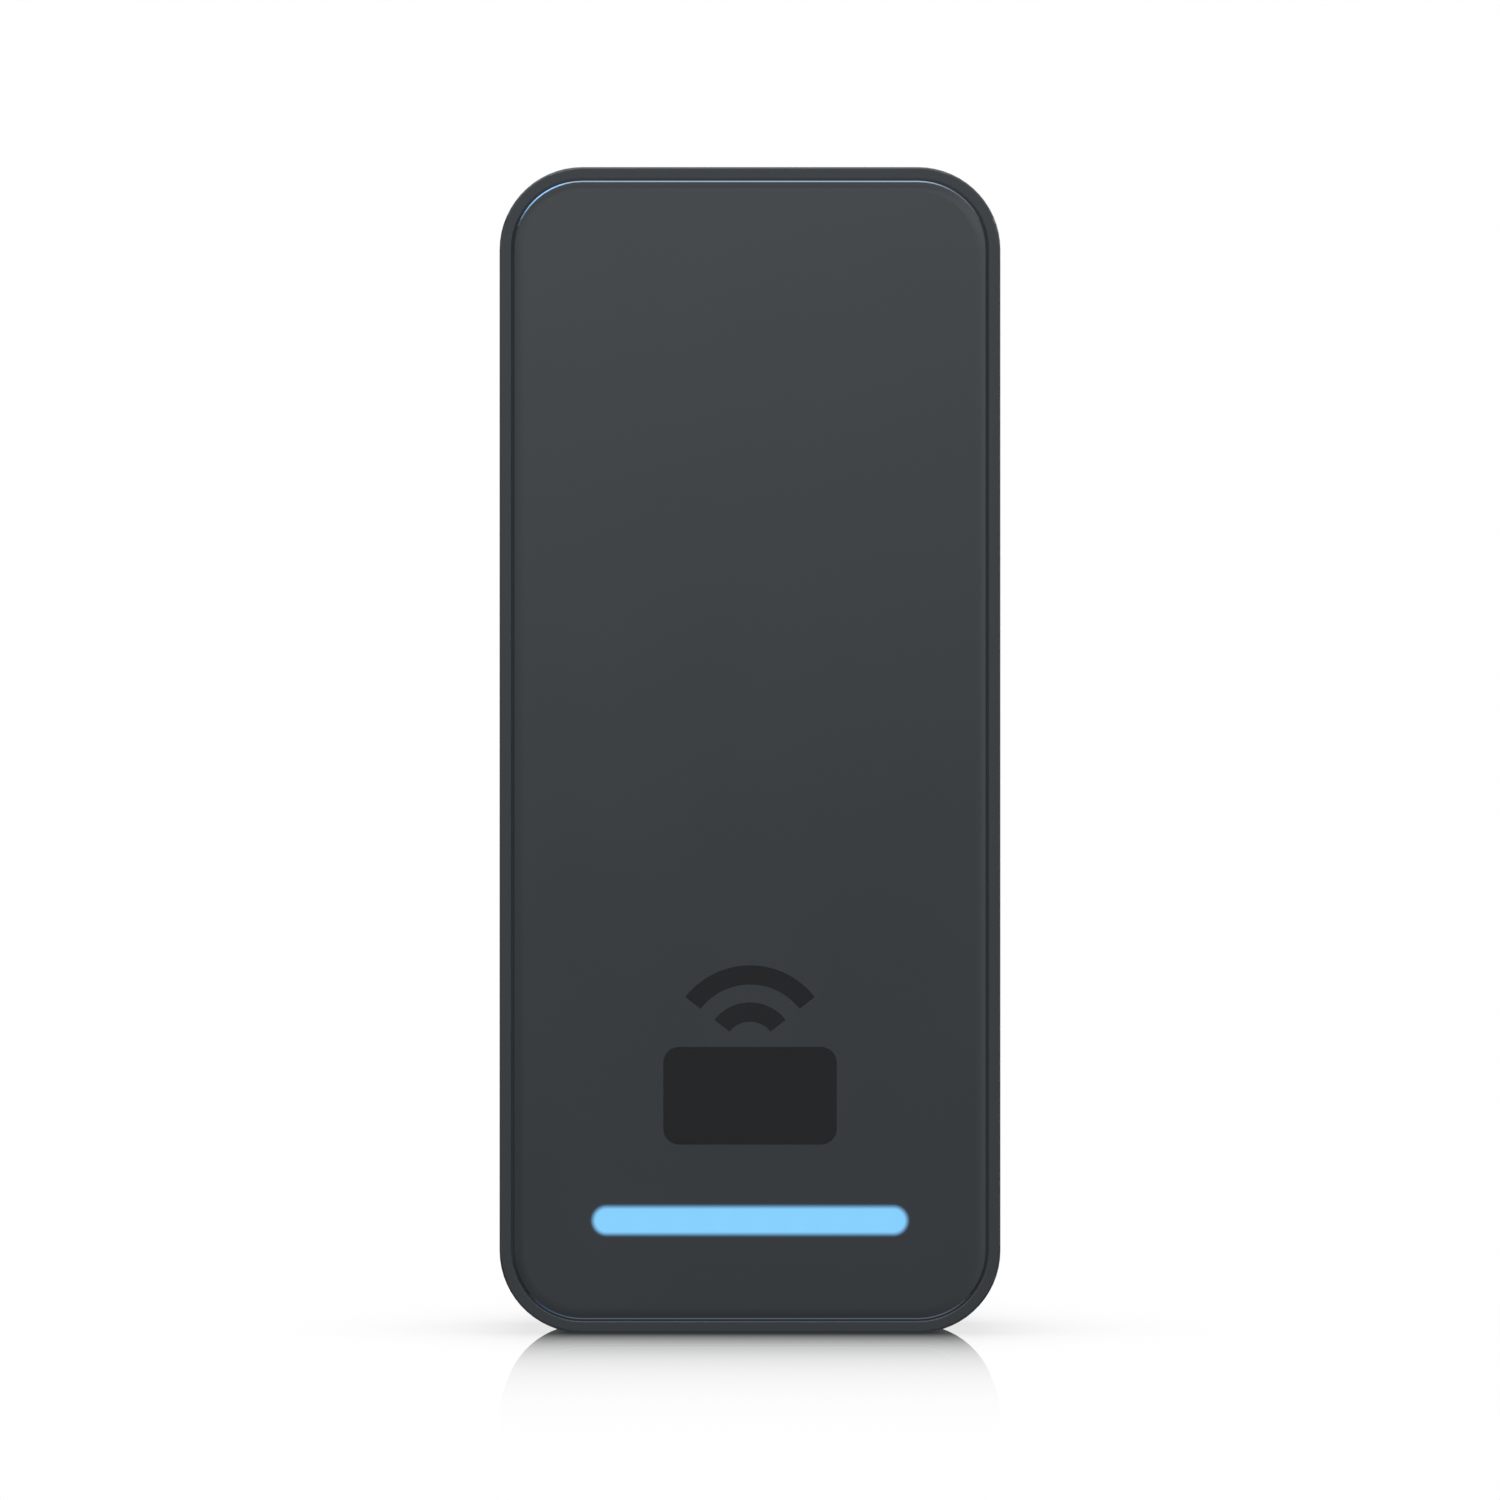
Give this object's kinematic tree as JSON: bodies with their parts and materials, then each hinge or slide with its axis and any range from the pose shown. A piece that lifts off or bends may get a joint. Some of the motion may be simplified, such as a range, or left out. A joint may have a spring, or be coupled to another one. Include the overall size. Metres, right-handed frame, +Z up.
{
  "type": "card reader",
  "caption": "Slim upright wall card reader with rounded corners, a thin rim round a smooth inset panel and a glowing pill-shaped light bar, hung on a steel plate.",
  "frame": {"origin": "centre of the wall face, midway up the case", "axes": "+X to the right seen from the front, +Y into the wall, +Z up"},
  "size_m": [0.0568, 0.0204, 0.1322],
  "materials": {
    "plate_steel": "satin zinc plate",
    "foam_black": "matte closed-cell foam",
    "case_grey": "fine satin moulding",
    "panel_grey": "smooth satin",
    "adhesive_black": "matte",
    "mark_dark": "satin print",
    "light_blue": "translucent, lit",
    "reflector_white": "white diffuser",
    "board_green": "solder mask",
    "copper": "bare copper track",
    "ferrite_grey": "dull ferrite",
    "contact_gold": "gold flash",
    "screw_steel": "bright zinc",
    "led_white": "clear cap",
    "chip_black": "moulded epoxy",
    "thermal_pad_grey": "soft pad",
    "sink_aluminium": "clear anodised",
    "tinned_can": "tinned",
    "transformer_tape": "yellow tape",
    "capacitor_can": "drawn can",
    "passive_body": "ceramic",
    "jack_black": "moulded",
    "silicone_grey": "soft matte",
    "membrane_white": "matte film",
    "button_white": "soft touch",
    "spring_steel": "bright wire",
    "nylon_white": "natural nylon",
    "cover_black": "fine spark texture",
    "screw_black": "black zinc",
    "label_silver": "matte foil, blank",
    "brass": "turned"
  },
  "bodies": {
    "wall_plate": {"wall_plate": "plate_steel", "wall_gasket": "foam_black"},
    "reader": {"front_housing": "case_grey", "face_panel": "panel_grey", "panel_adhesive": "adhesive_black", "front_mark": "mark_dark", "light_bar_lens": "light_blue", "light_bar_reflector": "reflector_white", "antenna_board": "board_green", "antenna_coil": "copper", "ferrite_sheet": "ferrite_grey", "antenna_contacts": "contact_gold", "main_board": "board_green", "board_screws": "screw_steel", "status_leds": "led_white", "processor": "chip_black", "thermal_pad": "thermal_pad_grey", "heat_sink": "sink_aluminium", "memory_chips": "chip_black", "reader_chip": "chip_black", "radio_shield": "tinned_can", "power_transformer": "transformer_tape", "network_magnetics": "chip_black", "power_inductors": "ferrite_grey", "capacitors": "capacitor_can", "crystals": "tinned_can", "small_passives": "passive_body", "jack_shell": "tinned_can", "jack_insert": "jack_black", "jack_contacts": "contact_gold", "jack_seal": "silicone_grey", "buzzer": "jack_black", "buzzer_gasket": "silicone_grey", "buzzer_membrane": "membrane_white", "reset_switch": "tinned_can", "tamper_switch": "tinned_can", "tamper_spring": "spring_steel", "rear_cover": "cover_black", "housing_seal": "silicone_grey", "cover_screws": "screw_black", "vent_membrane": "membrane_white", "rating_label": "label_silver", "lock_insert": "brass"},
    "lock_screw_tip": {"lock_screw_tip": "nylon_white"},
    "lock_screw": {"lock_screw": "screw_steel"},
    "tamper_plunger": {"tamper_plunger": "nylon_white"},
    "reset_button": {"reset_button": "button_white"}
  },
  "joints": [
    {"name": "reader_tilt", "type": "hinge", "parent": "wall_plate", "child": "reader", "pos_m": [0, -0.0032, 0.062], "axis": [-1, 0, 0], "range_deg": [0, 25]},
    {"name": "lock_screw_feed", "type": "slide", "parent": "reader", "child": "lock_screw_tip", "axis": [0, 0, 1], "range_m": [0, 0.002]},
    {"name": "lock_screw_turn", "type": "hinge", "parent": "lock_screw_tip", "child": "lock_screw", "pos_m": [0, -0.0088, -0.0636], "axis": [0, 0, 1], "range_deg": [0, 1440]},
    {"name": "tamper_plunger_travel", "type": "slide", "parent": "reader", "child": "tamper_plunger", "axis": [0, 1, 0], "range_m": [0, 0.0015], "deforming": ["tamper_spring"]},
    {"name": "reset_button_press", "type": "slide", "parent": "reader", "child": "reset_button", "axis": [0, -1, 0], "range_m": [0, 0.0003]}
  ],
  "couplings": [
    {"joint": "lock_screw_turn", "follows": "lock_screw_feed", "rad_per_m": 12566},
    {"joint": "tamper_plunger_travel", "follows": "reader_tilt", "m_per_rad": 0.003437}
  ]
}
